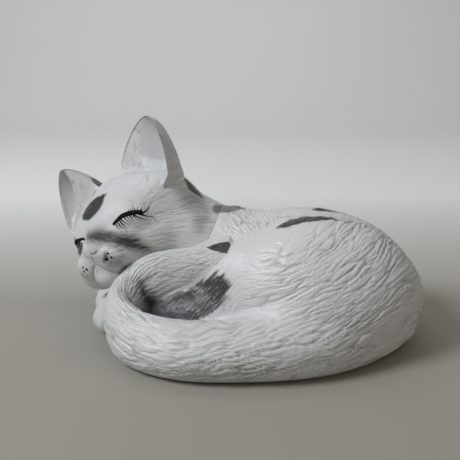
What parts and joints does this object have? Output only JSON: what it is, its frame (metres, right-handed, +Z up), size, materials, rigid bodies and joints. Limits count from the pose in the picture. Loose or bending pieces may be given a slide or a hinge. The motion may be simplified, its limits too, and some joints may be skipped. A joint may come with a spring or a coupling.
{
  "type": "cat figurine",
  "caption": "Ornament of a curled, sleeping cat with its tail wrapped round the front, painted white with grey patches, on a felt pad",
  "frame": {"origin": "centre of the felt's underside, on the table", "axes": "+Z up, +X from the head towards the rump, +Y from the front (tail side) towards the back"},
  "size_m": [0.2408, 0.1423, 0.1337],
  "materials": {
    "body_paint": "satin white paint on cast resin, grey patches along the spine and haunch",
    "head_paint": "satin white paint on cast resin, grey face marks, dark painted lashes",
    "ear_paint": "satin off-white paint on cast resin",
    "tail_paint": "satin white paint on cast resin, grey tip",
    "felt": "dark felt"
  },
  "bodies": {
    "root": {"torso": "body_paint", "haunch": "body_paint", "left_forepaw": "body_paint", "right_forepaw": "body_paint", "head": "head_paint", "left_ear": "ear_paint", "right_ear": "ear_paint", "tail": "tail_paint", "felt_pad": "felt"}
  },
  "joints": []
}
